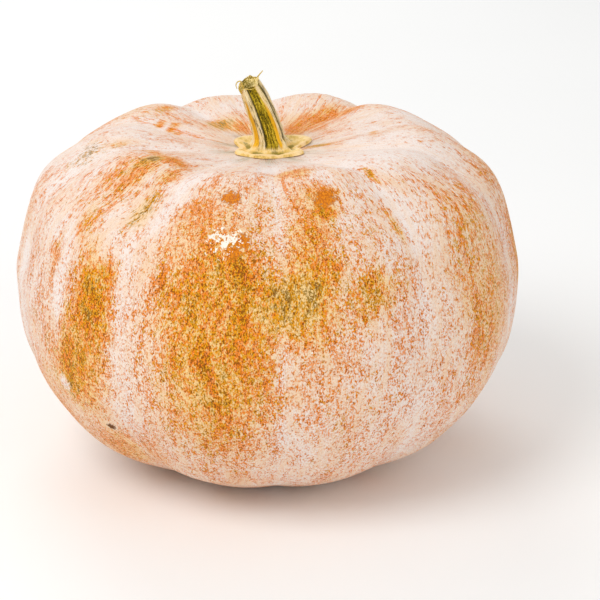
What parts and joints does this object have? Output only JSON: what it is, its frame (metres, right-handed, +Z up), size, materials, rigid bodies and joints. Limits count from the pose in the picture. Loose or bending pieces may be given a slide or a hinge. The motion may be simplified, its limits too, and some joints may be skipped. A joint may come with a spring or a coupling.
{
  "type": "pumpkin",
  "caption": "Whole squat ribbed pumpkin as picked, with a short ridged dry stem on a star-shaped foot, standing on its blossom end.",
  "frame": {"origin": "on the surface that the pumpkin stands on, under the middle of the fruit", "axes": "+Z up through the stem seat, -Y towards the side that the picture shows, +X to the right of it"},
  "size_m": [0.2999, 0.2943, 0.2347],
  "materials": {
    "bloomed_skin": "matt, mottled orange and ochre rind under a pale waxy bloom",
    "dry_stem": "dry, fibrous, straw yellow with olive stripes"
  },
  "bodies": {
    "root": {"fruit": "bloomed_skin", "stem": "dry_stem"}
  },
  "joints": []
}
